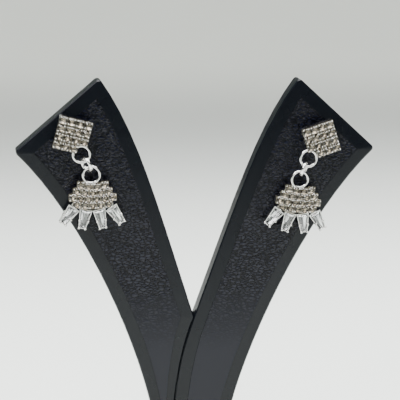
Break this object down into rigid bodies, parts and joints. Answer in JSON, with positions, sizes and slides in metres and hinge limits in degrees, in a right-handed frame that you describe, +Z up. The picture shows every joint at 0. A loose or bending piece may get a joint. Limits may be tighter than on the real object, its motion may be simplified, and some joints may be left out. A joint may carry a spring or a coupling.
{
  "type": "pair of crystal drop earrings on a display stand",
  "caption": "Pair of silver drop earrings pinned to a black V-shaped display stand: square stud of round stones, jump ring and hanging drop ending in a fan of tapered baguettes.",
  "frame": {"origin": "middle of the foot plate on the table", "axes": "+Z up along the stand, +X to the right as seen from the front, -Y towards the viewer in front of the stand"},
  "size_m": [0.0868, 0.05, 0.1075],
  "materials": {
    "stand": "smooth satin black",
    "panel": "fine grained black leatherette",
    "metal": "bright rhodium plated",
    "round_stone": "brilliant cut, clear with a grey taupe cast",
    "baguette": "step cut, clear white"
  },
  "bodies": {
    "stand": {"stand_base": "stand", "left_arm_board": "stand", "left_arm_panel": "panel", "left_stud_setting": "metal", "left_stud_stones": "round_stone", "right_arm_board": "stand", "right_arm_panel": "panel", "right_stud_setting": "metal", "right_stud_stones": "round_stone"},
    "left_link": {"left_link": "metal"},
    "left_drop": {"left_drop_setting": "metal", "left_drop_stones": "round_stone", "left_baguette_1": "baguette", "left_baguette_2": "baguette", "left_baguette_3": "baguette", "left_baguette_4": "baguette"},
    "right_link": {"right_link": "metal"},
    "right_drop": {"right_drop_setting": "metal", "right_drop_stones": "round_stone", "right_baguette_1": "baguette", "right_baguette_2": "baguette", "right_baguette_3": "baguette", "right_baguette_4": "baguette"}
  },
  "joints": [
    {"name": "left_swing", "type": "hinge", "parent": "stand", "child": "left_link", "pos_m": [-0.02749, -0.0043, 0.0887], "axis": [-0.9026, 0, -0.4305], "range_deg": [-2, 75]},
    {"name": "left_sway", "type": "hinge", "parent": "left_link", "child": "left_drop", "pos_m": [-0.02647, -0.0043, 0.08655], "axis": [0, 1, 0], "range_deg": [-30, 30]},
    {"name": "right_swing", "type": "hinge", "parent": "stand", "child": "right_link", "pos_m": [0.02584, -0.0043, 0.08685], "axis": [-0.9367, 0, 0.3502], "range_deg": [-2, 75]},
    {"name": "right_sway", "type": "hinge", "parent": "right_link", "child": "right_drop", "pos_m": [0.02501, -0.0043, 0.08462], "axis": [0, 1, 0], "range_deg": [-30, 30]}
  ]
}
